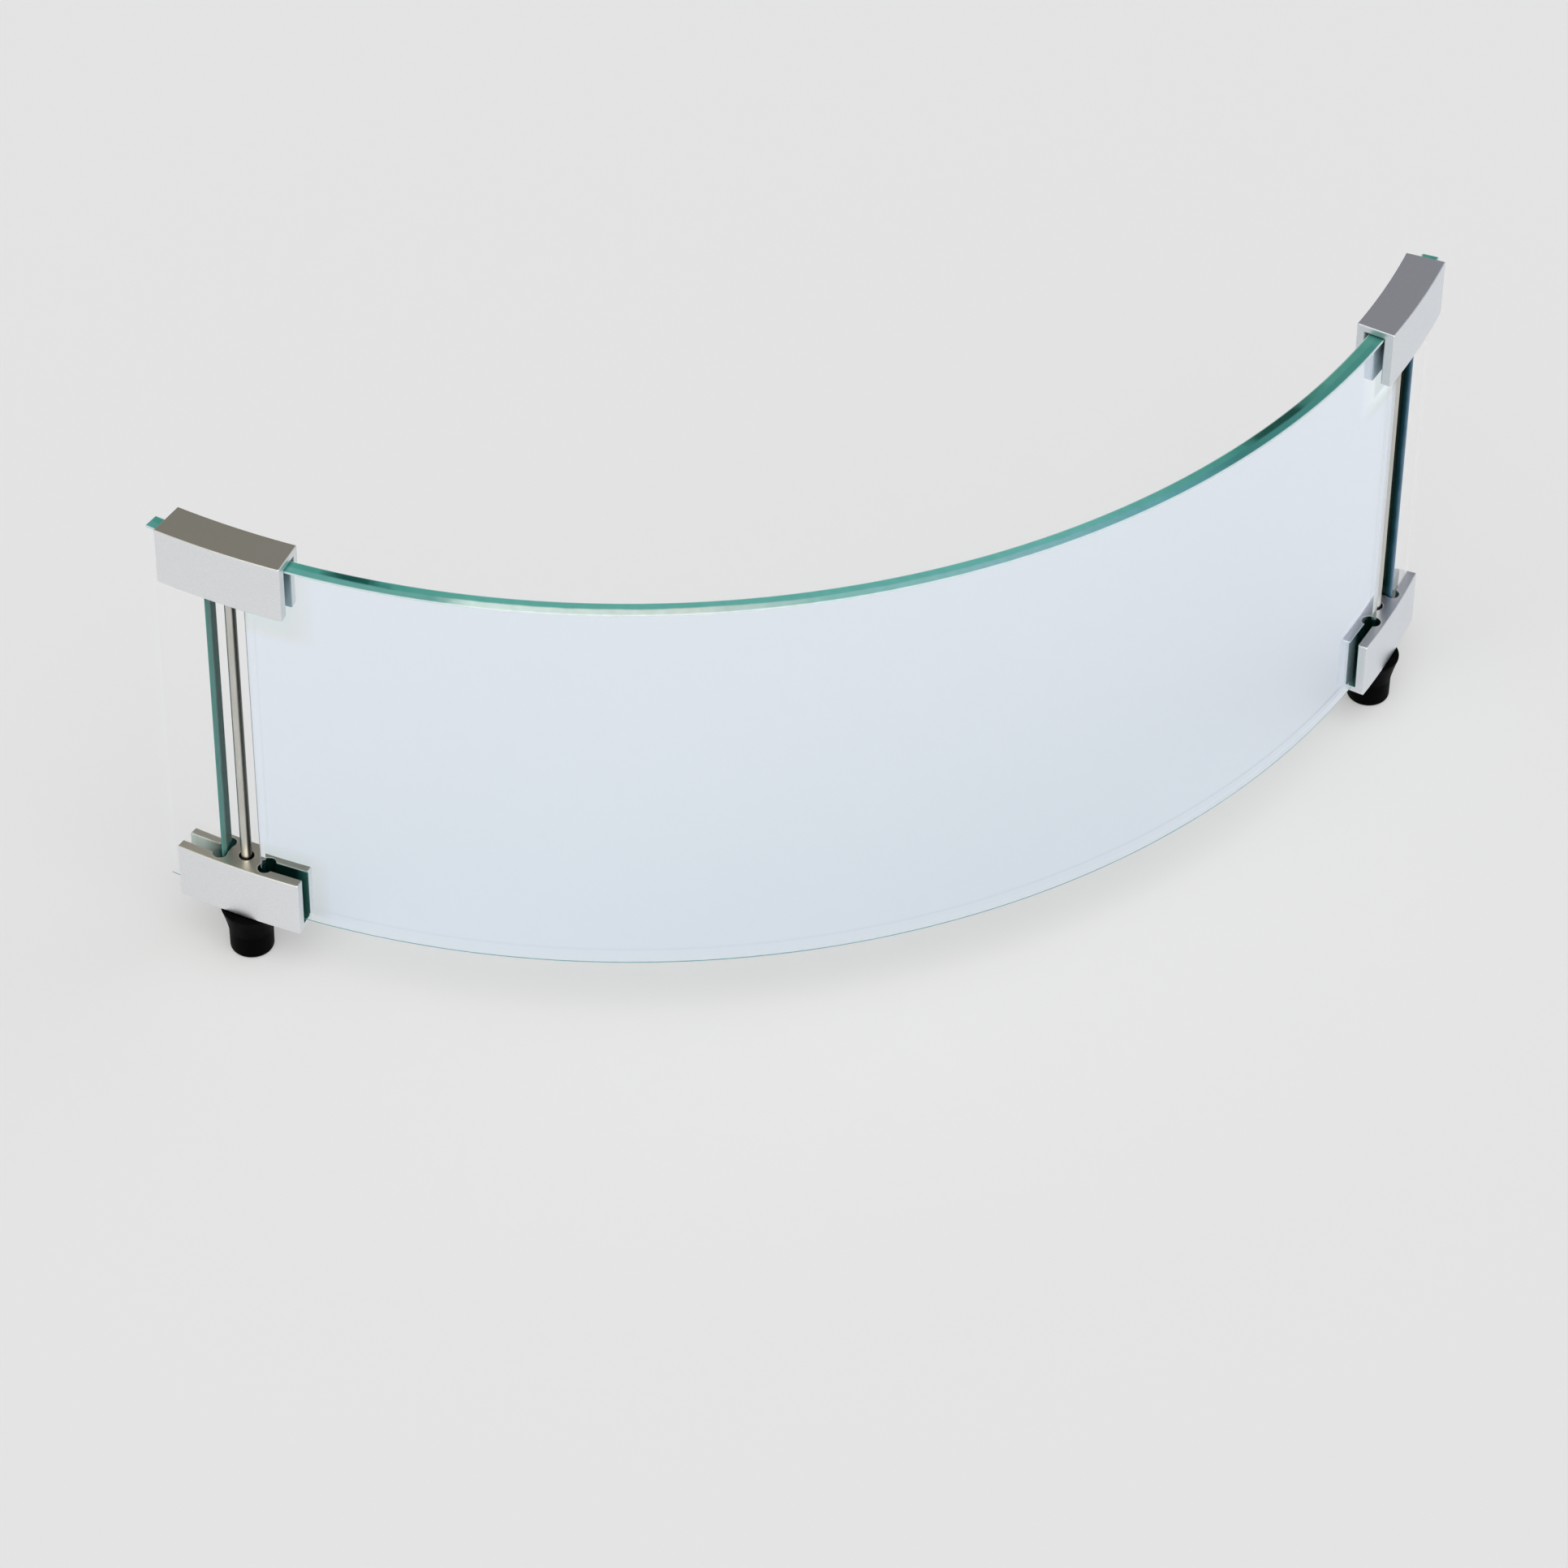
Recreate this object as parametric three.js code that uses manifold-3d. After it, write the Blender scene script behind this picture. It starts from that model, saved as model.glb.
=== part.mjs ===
// Curved glass guard: a quarter-ring glass panel held by clamp brackets on rubber screw feet.
// Units are millimetres, +Z up. The origin is on the table, under the middle of the bounding box.
// The panel bulges towards -Y; the left bracket pair is at -X and the right pair at +X.
import * as THREE from 'three';
import { mergeVertices } from 'three/addons/utils/BufferGeometryUtils.js';
import Module from 'manifold-3d';

// ---------------------------------------------------------------- driving dimensions
const GLASS_THICKNESS = 8;
const GLASS_HEIGHT = 200;
const GLASS_OUTER_RADIUS = 386.6;
const BRACKET_SPACING = Math.PI / 2; // angle between the two bracket pairs, seen from the ring's centre
const PANEL_END_OFFSET = 9.3; // from a bracket's middle to the end of each piece of glass
const STRIP_OVERHANG = 8.5; // how far a glass strip sticks out of its bracket

const BRACKET_LENGTH = 61; // along its outer face
const BRACKET_HEIGHT = 28.5;
const OUTER_WALL = 4.8;
const INNER_WALL = 4.2;
const SLOT_WIDTH = 9.4;
const SLOT_FLOOR = 3.65;
const SLOT_END_OFFSET = 8.5; // from the rod's axis to the closed end of each slot
const RELIEF_RADIUS = 3.1; // round relief in both corners of a slot's closed end
const RELIEF_OFFSET_ALONG = 11.2; // from the rod's axis, along the arc
const RELIEF_OFFSET_ACROSS = 3.9; // to both sides of the slot's middle

const PAD_THICKNESS = 0.6;
const PAD_START = 15; // from the bracket's middle, along the arc
const PAD_END = 27;

const ROD_RADIUS = 2.5;
const ROD_CLEARANCE_RADIUS = 3.3; // through hole in a bottom bracket
const THREAD_GAP = 0.3; // between the rod and every piece that is screwed onto it
const ROD_DEPTH_IN_TOP_BRACKET = 20;
const ROD_END_CHAMFER = 0.6;
const ROD_BOTTOM_Z = 8.5;

const FOOT_HEIGHT = 25.5; // from the table to the bottom bracket
const FOOT_RADIUS = 9.9;
const FOOT_FLARE_RADIUS = 13;
const FOOT_FLARE_HEIGHT = 13.5;
const FOOT_FLARE_CURVE = 1.3; // 1 would make the flare a straight cone, more makes it hollow
const FOOT_LIP_HEIGHT = 1.2;
const FOOT_EDGE_RADIUS = 2;
const FOOT_POCKET_RADIUS = 7.6;
const INSERT_RADIUS = 5;
const INSERT_FLANGE_RADIUS = 7;
const INSERT_FLANGE_THICKNESS = 1.5;
const INSERT_BOTTOM_Z = 6;
const INSERT_TOP_Z = 18.1;

const WASHER_RADIUS = 5;
const WASHER_THICKNESS = 1;
const NUT_ACROSS_FLATS = 8;
const NUT_HEIGHT = 4;

const TOUCH_GAP = 0.3; // between pieces that touch
const PAD_GAP = 0.2; // under and over a setting pad
const CUT_MARGIN = 1; // how far a cutting tool runs past the face that it opens
const GLASS_ARC_DIVISIONS = 32; // ExtrudeGeometry cuts each arc into twice this many straight steps
const BRACKET_ARC_DIVISIONS = 6;
const SHORT_ARC_DIVISIONS = 3;
const ROUND_SEGMENTS = 32;
const BORE_SEGMENTS = 24;
const RELIEF_SEGMENTS = 20;
const NUT_BORE_DIVISIONS = 14;
const FOOT_EDGE_STEPS = 4;
const FOOT_FLARE_STEPS = 6;
const MERGE_DISTANCE = 1e-5;

// ---------------------------------------------------------------- worked-out dimensions
const GLASS_INNER_RADIUS = GLASS_OUTER_RADIUS - GLASS_THICKNESS;
const GLASS_MIDDLE_RADIUS = GLASS_OUTER_RADIUS - GLASS_THICKNESS / 2;
const SLOT_OUTER_RADIUS = GLASS_OUTER_RADIUS + TOUCH_GAP;
const SLOT_INNER_RADIUS = SLOT_OUTER_RADIUS - SLOT_WIDTH;
const ROD_RADIAL_PLACE = (SLOT_OUTER_RADIUS + SLOT_INNER_RADIUS) / 2;
const BRACKET_OUTER_RADIUS = SLOT_OUTER_RADIUS + OUTER_WALL;
const BRACKET_INNER_RADIUS = SLOT_INNER_RADIUS - INNER_WALL;
const BRACKET_HALF_ANGLE = BRACKET_LENGTH / 2 / BRACKET_OUTER_RADIUS;
const SLOT_START_ANGLE = SLOT_END_OFFSET / ROD_RADIAL_PLACE;
const SLOT_OPEN_ANGLE = BRACKET_HALF_ANGLE + CUT_MARGIN / BRACKET_INNER_RADIUS;
const PANEL_END_ANGLE = PANEL_END_OFFSET / GLASS_MIDDLE_RADIUS;
const STRIP_END_ANGLE = BRACKET_HALF_ANGLE + STRIP_OVERHANG / GLASS_MIDDLE_RADIUS;
const HALF_SPACING = BRACKET_SPACING / 2;

const GLASS_BOTTOM_Z = FOOT_HEIGHT + SLOT_FLOOR + PAD_THICKNESS + 2 * PAD_GAP;
const GLASS_TOP_Z = GLASS_BOTTOM_Z + GLASS_HEIGHT;
const TOP_Z = GLASS_TOP_Z + PAD_GAP + PAD_THICKNESS + PAD_GAP + SLOT_FLOOR;
const TOP_BRACKET_BOTTOM_Z = TOP_Z - BRACKET_HEIGHT;

// The ring's centre lies behind the panel, so that the bounding box is centred on the origin.
const BACK_REACH = GLASS_INNER_RADIUS * Math.cos(HALF_SPACING + STRIP_END_ANGLE);
const RING_CENTRE_Y = (GLASS_OUTER_RADIUS + BACK_REACH) / 2;

// ---------------------------------------------------------------- materials
function paint(color, roughness, metalness) {
  return new THREE.MeshStandardMaterial({ color, roughness, metalness });
}

const materials = {
  glass: () => paint(0xbfe0d8, 0.05, 0),
  aluminium: () => paint(0xc9cccf, 0.35, 1),
  steel: () => paint(0xa9a79c, 0.3, 1),
  rubber: () => paint(0x0d0e0f, 0.7, 0),
  pad: () => paint(0x3a3d3c, 0.8, 0),
  brass: () => paint(0xb08d4a, 0.35, 1),
};

// ---------------------------------------------------------------- geometry helpers
const wasm = await Module();
wasm.setup();

function toManifold(geometry) {
  const bare = geometry.clone();
  bare.deleteAttribute('normal');
  bare.deleteAttribute('uv');
  const merged = mergeVertices(bare, MERGE_DISTANCE);
  const mesh = new wasm.Mesh({
    numProp: 3,
    vertProperties: new Float32Array(merged.attributes.position.array),
    triVerts: new Uint32Array(merged.index.array),
  });
  return new wasm.Manifold(mesh);
}

function toGeometry(manifold) {
  const { vertProperties, triVerts, numProp } = manifold.getMesh();
  const positions = new Float32Array((vertProperties.length / numProp) * 3);
  for (let i = 0; i < positions.length / 3; i += 1) {
    positions.set(vertProperties.subarray(i * numProp, i * numProp + 3), i * 3);
  }
  const geometry = new THREE.BufferGeometry();
  geometry.setAttribute('position', new THREE.BufferAttribute(positions, 3));
  geometry.setIndex(new THREE.BufferAttribute(new Uint32Array(triVerts), 1));
  geometry.computeVertexNormals();
  return geometry;
}

// A block that follows the ring, between two radii, two angles and two heights.
// Angle 0 points from the ring's centre towards -Y, and grows towards +X.
function ringBlock(innerRadius, outerRadius, startAngle, endAngle, bottomZ, topZ, divisions) {
  const start = startAngle - Math.PI / 2;
  const end = endAngle - Math.PI / 2;
  const shape = new THREE.Shape();
  shape.absarc(0, 0, outerRadius, start, end, false);
  shape.absarc(0, 0, innerRadius, end, start, true);
  shape.closePath();
  const depth = topZ - bottomZ;
  const geometry = new THREE.ExtrudeGeometry(shape, { depth, bevelEnabled: false, curveSegments: divisions });
  geometry.translate(0, 0, bottomZ);
  return geometry;
}

// An upright cylinder, an arc length away from angle 0 and some way outwards from the slot's middle line.
function uprightCylinder(radius, along, outwards, bottomZ, topZ, segments) {
  const geometry = new THREE.CylinderGeometry(radius, radius, topZ - bottomZ, segments);
  const angle = along / ROD_RADIAL_PLACE;
  const reach = ROD_RADIAL_PLACE + outwards;
  geometry.rotateX(Math.PI / 2);
  geometry.translate(0, 0, (topZ + bottomZ) / 2);
  geometry.translate(reach * Math.sin(angle), -reach * Math.cos(angle), 0);
  return geometry;
}

// A round body about the Z axis. points are [radius, height] pairs.
function turned(points) {
  const profile = points.map(([radius, height]) => new THREE.Vector2(radius, height));
  const geometry = new THREE.LatheGeometry(profile, ROUND_SEGMENTS);
  geometry.rotateX(Math.PI / 2);
  return geometry;
}

// A turned ring, whose profile closes on itself.
function turnedRing(innerRadius, outerRadius, bottomZ, topZ) {
  return turned([
    [innerRadius, bottomZ],
    [outerRadius, bottomZ],
    [outerRadius, topZ],
    [innerRadius, topZ],
    [innerRadius, bottomZ],
  ]);
}

// ---------------------------------------------------------------- clamp bracket
// H-shaped in plan: a slot opens at each end, and its closed end has a round relief in both corners,
// beside the middle web. It stands on z = 0 with its slots open upwards, centred on angle 0 of the ring.
function bracketGeometry(rodHoleRadius, rodHoleBottomZ) {
  const aboveTop = BRACKET_HEIGHT + CUT_MARGIN;
  const block = ringBlock(
    BRACKET_INNER_RADIUS,
    BRACKET_OUTER_RADIUS,
    -BRACKET_HALF_ANGLE,
    BRACKET_HALF_ANGLE,
    0,
    BRACKET_HEIGHT,
    BRACKET_ARC_DIVISIONS,
  );
  let body = toManifold(block);
  for (const side of [-1, 1]) {
    const [from, to] = [side * SLOT_START_ANGLE, side * SLOT_OPEN_ANGLE].sort((a, b) => a - b);
    const slot = ringBlock(
      SLOT_INNER_RADIUS, SLOT_OUTER_RADIUS, from, to, SLOT_FLOOR, aboveTop, SHORT_ARC_DIVISIONS,
    );
    body = body.subtract(toManifold(slot));
    for (const outwards of [-RELIEF_OFFSET_ACROSS, RELIEF_OFFSET_ACROSS]) {
      const along = side * RELIEF_OFFSET_ALONG;
      const relief = uprightCylinder(
        RELIEF_RADIUS, along, outwards, SLOT_FLOOR, aboveTop, RELIEF_SEGMENTS,
      );
      body = body.subtract(toManifold(relief));
    }
  }
  const rodHole = uprightCylinder(rodHoleRadius, 0, 0, rodHoleBottomZ, aboveTop, BORE_SEGMENTS);
  return toGeometry(body.subtract(toManifold(rodHole)));
}

function bottomBracket() {
  const geometry = bracketGeometry(ROD_CLEARANCE_RADIUS, -CUT_MARGIN);
  geometry.translate(0, 0, FOOT_HEIGHT);
  return geometry;
}

function topBracket() {
  const rodHoleEnd = BRACKET_HEIGHT - ROD_DEPTH_IN_TOP_BRACKET - TOUCH_GAP;
  const geometry = bracketGeometry(ROD_RADIUS + THREAD_GAP, rodHoleEnd);
  geometry.rotateY(Math.PI);
  geometry.translate(0, 0, TOP_Z);
  return geometry;
}

// ---------------------------------------------------------------- glass and setting pads
function glassBetween(startAngle, endAngle, divisions) {
  return ringBlock(
    GLASS_INNER_RADIUS, GLASS_OUTER_RADIUS, startAngle, endAngle, GLASS_BOTTOM_Z, GLASS_TOP_Z, divisions,
  );
}

function mainPanel() {
  const end = HALF_SPACING - PANEL_END_ANGLE;
  return glassBetween(-end, end, GLASS_ARC_DIVISIONS);
}

// side is -1 or +1: the direction along the ring, seen from the bracket's middle.
function glassStrip(side) {
  const [from, to] = [side * PANEL_END_ANGLE, side * STRIP_END_ANGLE].sort((a, b) => a - b);
  return glassBetween(from, to, SHORT_ARC_DIVISIONS);
}

function settingPad(side, bottomZ) {
  const ends = [PAD_START, PAD_END].map((place) => (side * place) / GLASS_MIDDLE_RADIUS);
  const [from, to] = ends.sort((a, b) => a - b);
  const topZ = bottomZ + PAD_THICKNESS;
  return ringBlock(
    GLASS_INNER_RADIUS, GLASS_OUTER_RADIUS, from, to, bottomZ, topZ, SHORT_ARC_DIVISIONS,
  );
}

// ---------------------------------------------------------------- rod, nut and foot, about the rod's axis
function tieRod() {
  const topZ = TOP_BRACKET_BOTTOM_Z + ROD_DEPTH_IN_TOP_BRACKET;
  const tip = ROD_RADIUS - ROD_END_CHAMFER;
  return turned([
    [0, ROD_BOTTOM_Z],
    [tip, ROD_BOTTOM_Z],
    [ROD_RADIUS, ROD_BOTTOM_Z + ROD_END_CHAMFER],
    [ROD_RADIUS, topZ - ROD_END_CHAMFER],
    [tip, topZ],
    [0, topZ],
  ]);
}

function rodWasher() {
  const topZ = FOOT_HEIGHT - TOUCH_GAP;
  return turnedRing(ROD_RADIUS + THREAD_GAP, WASHER_RADIUS, topZ - WASHER_THICKNESS, topZ);
}

function rodNut() {
  const hexagon = new THREE.Shape();
  const cornerRadius = NUT_ACROSS_FLATS / 2 / Math.cos(Math.PI / 6);
  for (let corner = 0; corner < 6; corner += 1) {
    const angle = (corner * Math.PI) / 3;
    const place = [cornerRadius * Math.cos(angle), cornerRadius * Math.sin(angle)];
    if (corner === 0) hexagon.moveTo(...place);
    else hexagon.lineTo(...place);
  }
  hexagon.closePath();
  const hole = new THREE.Path();
  hole.absarc(0, 0, ROD_RADIUS + THREAD_GAP, 0, 2 * Math.PI, true);
  hexagon.holes.push(hole);
  const geometry = new THREE.ExtrudeGeometry(hexagon, {
    depth: NUT_HEIGHT,
    bevelEnabled: false,
    curveSegments: NUT_BORE_DIVISIONS,
  });
  geometry.translate(0, 0, FOOT_HEIGHT - 2 * TOUCH_GAP - WASHER_THICKNESS - NUT_HEIGHT);
  return geometry;
}

function footInsert() {
  const bore = ROD_RADIUS + THREAD_GAP;
  const flangeBottomZ = INSERT_TOP_Z - INSERT_FLANGE_THICKNESS;
  return turned([
    [bore, INSERT_BOTTOM_Z],
    [INSERT_RADIUS, INSERT_BOTTOM_Z],
    [INSERT_RADIUS, flangeBottomZ],
    [INSERT_FLANGE_RADIUS, flangeBottomZ],
    [INSERT_FLANGE_RADIUS, INSERT_TOP_Z],
    [bore, INSERT_TOP_Z],
    [bore, INSERT_BOTTOM_Z],
  ]);
}

// The foot's outside: a rounded bottom edge, a straight body and a flare that widens to a thin lip.
function footOutline() {
  const outline = [];
  for (let step = 0; step <= FOOT_EDGE_STEPS; step += 1) {
    const angle = (step / FOOT_EDGE_STEPS) * (Math.PI / 2);
    const radius = FOOT_RADIUS - FOOT_EDGE_RADIUS * (1 - Math.sin(angle));
    outline.push([radius, FOOT_EDGE_RADIUS * (1 - Math.cos(angle))]);
  }
  const lipZ = FOOT_HEIGHT - TOUCH_GAP - FOOT_LIP_HEIGHT;
  for (let step = 0; step <= FOOT_FLARE_STEPS; step += 1) {
    const along = step / FOOT_FLARE_STEPS;
    const radius = FOOT_RADIUS + (FOOT_FLARE_RADIUS - FOOT_RADIUS) * along ** FOOT_FLARE_CURVE;
    outline.push([radius, lipZ - FOOT_FLARE_HEIGHT * (1 - along)]);
  }
  outline.push([FOOT_FLARE_RADIUS, lipZ + FOOT_LIP_HEIGHT]);
  return outline;
}

function rubberFoot() {
  const topZ = FOOT_HEIGHT - TOUCH_GAP;
  const flangeSeatZ = INSERT_TOP_Z - INSERT_FLANGE_THICKNESS - TOUCH_GAP;
  const boreRadius = INSERT_RADIUS + TOUCH_GAP;
  return turned([
    [0, 0],
    ...footOutline(),
    [FOOT_POCKET_RADIUS, topZ],
    [FOOT_POCKET_RADIUS, flangeSeatZ],
    [boreRadius, flangeSeatZ],
    [boreRadius, INSERT_BOTTOM_Z - TOUCH_GAP],
    [0, INSERT_BOTTOM_Z - TOUCH_GAP],
  ]);
}

// ---------------------------------------------------------------- assembly
function addMesh(parent, name, geometry, material) {
  const mesh = new THREE.Mesh(geometry, material());
  mesh.name = name;
  parent.add(mesh);
}

// Both brackets of one side, with the rod, foot, strip and pads that belong to them.
// outward is -1 on the left and +1 on the right: the direction away from the panel.
function bracketPair(side, outward) {
  const pair = new THREE.Group();
  pair.rotation.z = outward * HALF_SPACING;
  addMesh(pair, `${side}_bottom_bracket`, bottomBracket(), materials.aluminium);
  addMesh(pair, `${side}_top_bracket`, topBracket(), materials.aluminium);
  addMesh(pair, `${side}_glass_strip`, glassStrip(outward), materials.glass);
  const padPlaces = { bottom: FOOT_HEIGHT + SLOT_FLOOR + PAD_GAP, top: GLASS_TOP_Z + PAD_GAP };
  for (const [level, bottomZ] of Object.entries(padPlaces)) {
    addMesh(pair, `${side}_${level}_strip_pad`, settingPad(outward, bottomZ), materials.pad);
    addMesh(pair, `${side}_${level}_panel_pad`, settingPad(-outward, bottomZ), materials.pad);
  }

  const onRodAxis = new THREE.Group();
  onRodAxis.position.y = -ROD_RADIAL_PLACE;
  addMesh(onRodAxis, `${side}_tie_rod`, tieRod(), materials.steel);
  addMesh(onRodAxis, `${side}_rod_washer`, rodWasher(), materials.steel);
  addMesh(onRodAxis, `${side}_rod_nut`, rodNut(), materials.steel);
  addMesh(onRodAxis, `${side}_foot_insert`, footInsert(), materials.brass);
  addMesh(onRodAxis, `${side}_foot`, rubberFoot(), materials.rubber);
  pair.add(onRodAxis);
  return pair;
}

const guard = new THREE.Group();
guard.position.y = RING_CENTRE_Y;
addMesh(guard, 'main_glass_panel', mainPanel(), materials.glass);
guard.add(bracketPair('left', -1));
guard.add(bracketPair('right', 1));

export default guard;
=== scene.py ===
"""Curved glass guard: the looks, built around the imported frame. Metres, +Z up, the frame's own axes."""
import math

import bmesh
import bpy
from mathutils import Euler, Matrix, Vector


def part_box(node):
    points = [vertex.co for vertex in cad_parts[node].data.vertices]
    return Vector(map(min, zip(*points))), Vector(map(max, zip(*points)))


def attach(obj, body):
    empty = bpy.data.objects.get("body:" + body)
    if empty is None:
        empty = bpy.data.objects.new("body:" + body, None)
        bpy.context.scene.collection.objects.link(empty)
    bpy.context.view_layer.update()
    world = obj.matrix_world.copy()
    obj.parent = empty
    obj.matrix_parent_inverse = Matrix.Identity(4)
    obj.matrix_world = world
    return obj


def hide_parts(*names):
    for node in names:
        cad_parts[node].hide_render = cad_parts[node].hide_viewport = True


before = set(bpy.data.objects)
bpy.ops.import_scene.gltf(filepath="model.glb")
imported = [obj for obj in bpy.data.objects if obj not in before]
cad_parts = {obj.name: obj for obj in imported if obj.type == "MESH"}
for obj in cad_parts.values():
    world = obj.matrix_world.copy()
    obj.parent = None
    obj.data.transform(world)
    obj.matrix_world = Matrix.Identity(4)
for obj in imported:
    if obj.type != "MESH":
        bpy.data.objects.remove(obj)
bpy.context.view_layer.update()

MM = 0.001
SIDES = {"left": -1, "right": 1}  # the sign of X on that side

# ---------------------------------------------------------------- sizes that the frame's boxes don't give
GLASS_OUTER_RADIUS = 386.6 * MM
GLASS_THICKNESS = 8 * MM
HALF_SPACING = math.radians(45)  # from the panel's middle to each bracket's middle
SLOT_OUTER_RADIUS = GLASS_OUTER_RADIUS + 0.3 * MM
SLOT_WIDTH = 9.4 * MM
SLOT_FLOOR = 3.65 * MM
OUTER_WALL = 4.8 * MM
INNER_WALL = 4.2 * MM
BRACKET_LENGTH = 61 * MM
SLOT_END_OFFSET = 8.5 * MM  # from the rod's axis to the closed end of each slot
RELIEF_RADIUS = 3.1 * MM  # round relief in both corners of that end
RELIEF_OFFSET_ALONG = 11.2 * MM
RELIEF_OFFSET_ACROSS = 3.9 * MM
ROD_CLEARANCE_RADIUS = 3.3 * MM
ROD_BLIND_RADIUS = 2.8 * MM
ROD_DEPTH_IN_TOP_BRACKET = 20.3 * MM
FOOT_FLARE_WIDTH = 3.1 * MM
FOOT_FLARE_HEIGHT = 13.5 * MM
FOOT_FLARE_CURVE = 1.3
FOOT_EDGE = 2.0 * MM
FOOT_LIP = 1.2 * MM
FOOT_LIP_ROUND = 0.4 * MM
FOOT_DISH_RADIUS = 5 * MM
FOOT_DISH_SLOPE = 0.6 * MM
FOOT_DISH_DEPTH = 0.5 * MM
FOOT_POCKET_RADIUS = 7.6 * MM
FOOT_INSERT_HOLE_RADIUS = 5.2 * MM
INSERT_FLANGE_WIDTH = 2 * MM
INSERT_FLANGE_THICKNESS = 1.5 * MM
INSERT_PLAY = 0.2 * MM  # between an insert and the rubber under it
INSERT_EDGE = 0.25 * MM
INSERT_BORE_RADIUS = 2.65 * MM
KNURL_TEETH = 30
KNURL_MARGIN = 1 * MM  # plain band above and below the knurl
KNURL_STEP = 0.3 * MM
KNURL_DEPTH = 0.25 * MM
KNURL_RISE = 1.6 * MM  # height in which a ridge moves on by one tooth
NUT_ACROSS_FLATS = 8 * MM
NUT_CONE_WIDTH = 1.5 * MM  # of the cones that chamfer a nut's corners
NUT_CONE_HEIGHT = 0.75 * MM
NUT_BORE_RADIUS = 2.6 * MM
NUT_BORE_CHAMFER = 0.5 * MM
WASHER_BORE_RADIUS = 2.65 * MM
WASHER_EDGE = 0.18 * MM
ROD_CHAMFER = 0.5 * MM
THREAD_PITCH = 0.8 * MM
THREAD_DEPTH = 0.42 * MM
THREAD_INTO_BRACKET = 3 * MM
GLASS_ARRIS = 0.5 * MM
GLASS_IOR = 1.5
PAD_EDGE = 0.2 * MM
EDGE_BREAK = 0.55 * MM  # of the brackets
SLOT_FLOOR_ROUND = 0.5 * MM
SUPPORT = 0.12 * MM  # a thin row of faces beside each rounded edge keeps the big faces' shading flat
CUT_MARGIN = 2 * MM  # how far a cutting tool runs past the face that it opens

# The camera stands outside the ring and above it, as far away as the picture's perspective says.
CAMERA_DISTANCE = 2425.7 * MM  # in plan, from the ring's centre
CAMERA_OFF_AXIS = 0.3061  # radians, from the panel's middle towards the left bracket
CAMERA_HEIGHT = 1921.0 * MM  # above the glass's lower edge
CAMERA_HEADING = 0.3354  # radians, to the right of +Y
CAMERA_TILT = 0.7275  # radians, downwards
CAMERA_ROLL = 0.0082  # radians, about the view
CAMERA_LENS = 146.2  # millimetres
FLOOR_GLOW = 0.30  # the floor gives off light, so that shadows on it stay faint

GLASS_INNER_RADIUS = GLASS_OUTER_RADIUS - GLASS_THICKNESS
GLASS_MIDDLE_RADIUS = GLASS_OUTER_RADIUS - GLASS_THICKNESS / 2
SLOT_MIDDLE_RADIUS = SLOT_OUTER_RADIUS - SLOT_WIDTH / 2
BRACKET_OUTER_RADIUS = SLOT_OUTER_RADIUS + OUTER_WALL
BRACKET_INNER_RADIUS = SLOT_OUTER_RADIUS - SLOT_WIDTH - INNER_WALL
BRACKET_HALF_ANGLE = BRACKET_LENGTH / 2 / BRACKET_OUTER_RADIUS
RING_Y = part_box("main_glass_panel")[0].y + GLASS_OUTER_RADIUS


def ring_point(radius, angle, z):
    """A point of the ring. Angle 0 is the middle of the panel, towards -Y, and grows towards +X."""
    return Vector((radius * math.sin(angle), RING_Y - radius * math.cos(angle), z))


def axis_of(node):
    """The middle of a node's box, in plan."""
    low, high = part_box(node)
    return Vector(((low.x + high.x) / 2, (low.y + high.y) / 2, 0))


# ---------------------------------------------------------------- mesh helpers
def finish_mesh(name, bm, materials, sharp_angle=35):
    """Turns a bmesh into an object with smooth faces, creases over sharp_angle and clean normals."""
    bmesh.ops.remove_doubles(bm, verts=bm.verts, dist=1e-7)
    bmesh.ops.recalc_face_normals(bm, faces=bm.faces)
    mesh = bpy.data.meshes.new(name)
    bm.to_mesh(mesh)
    bm.free()
    for material in materials:
        mesh.materials.append(material)
    piece = bpy.data.objects.new(name, mesh)
    bpy.context.scene.collection.objects.link(piece)
    smooth(piece, sharp_angle)
    return piece


def smooth(piece, sharp_angle=35):
    """Smooth shading, with creases over sharp_angle and normals that keep flat faces flat."""
    piece.data.shade_smooth()
    piece.data.set_sharp_from_angle(angle=math.radians(sharp_angle))
    if "weighted normals" not in piece.modifiers:
        weighted = piece.modifiers.new("weighted normals", "WEIGHTED_NORMAL")
        weighted.keep_sharp = True


def skin(sections, zone=None):
    """A closed solid through a list of rings with equal point counts, capped at both ends.

    zone(section, point) gives the material index of the face that starts there; caps ask with point None.
    """
    bm = bmesh.new()
    rings = [[bm.verts.new(point) for point in ring] for ring in sections]
    count = len(rings[0])
    for row in range(len(rings) - 1):
        for point in range(count):
            following = (point + 1) % count
            ring, after = rings[row], rings[row + 1]
            face = bm.faces.new((ring[point], ring[following], after[following], after[point]))
            face.material_index = zone(row, point) if zone else 0
    for row in (0, len(rings) - 1):
        cap = bm.faces.new(rings[row])
        cap.material_index = zone(row, None) if zone else 0
    return bm


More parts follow.
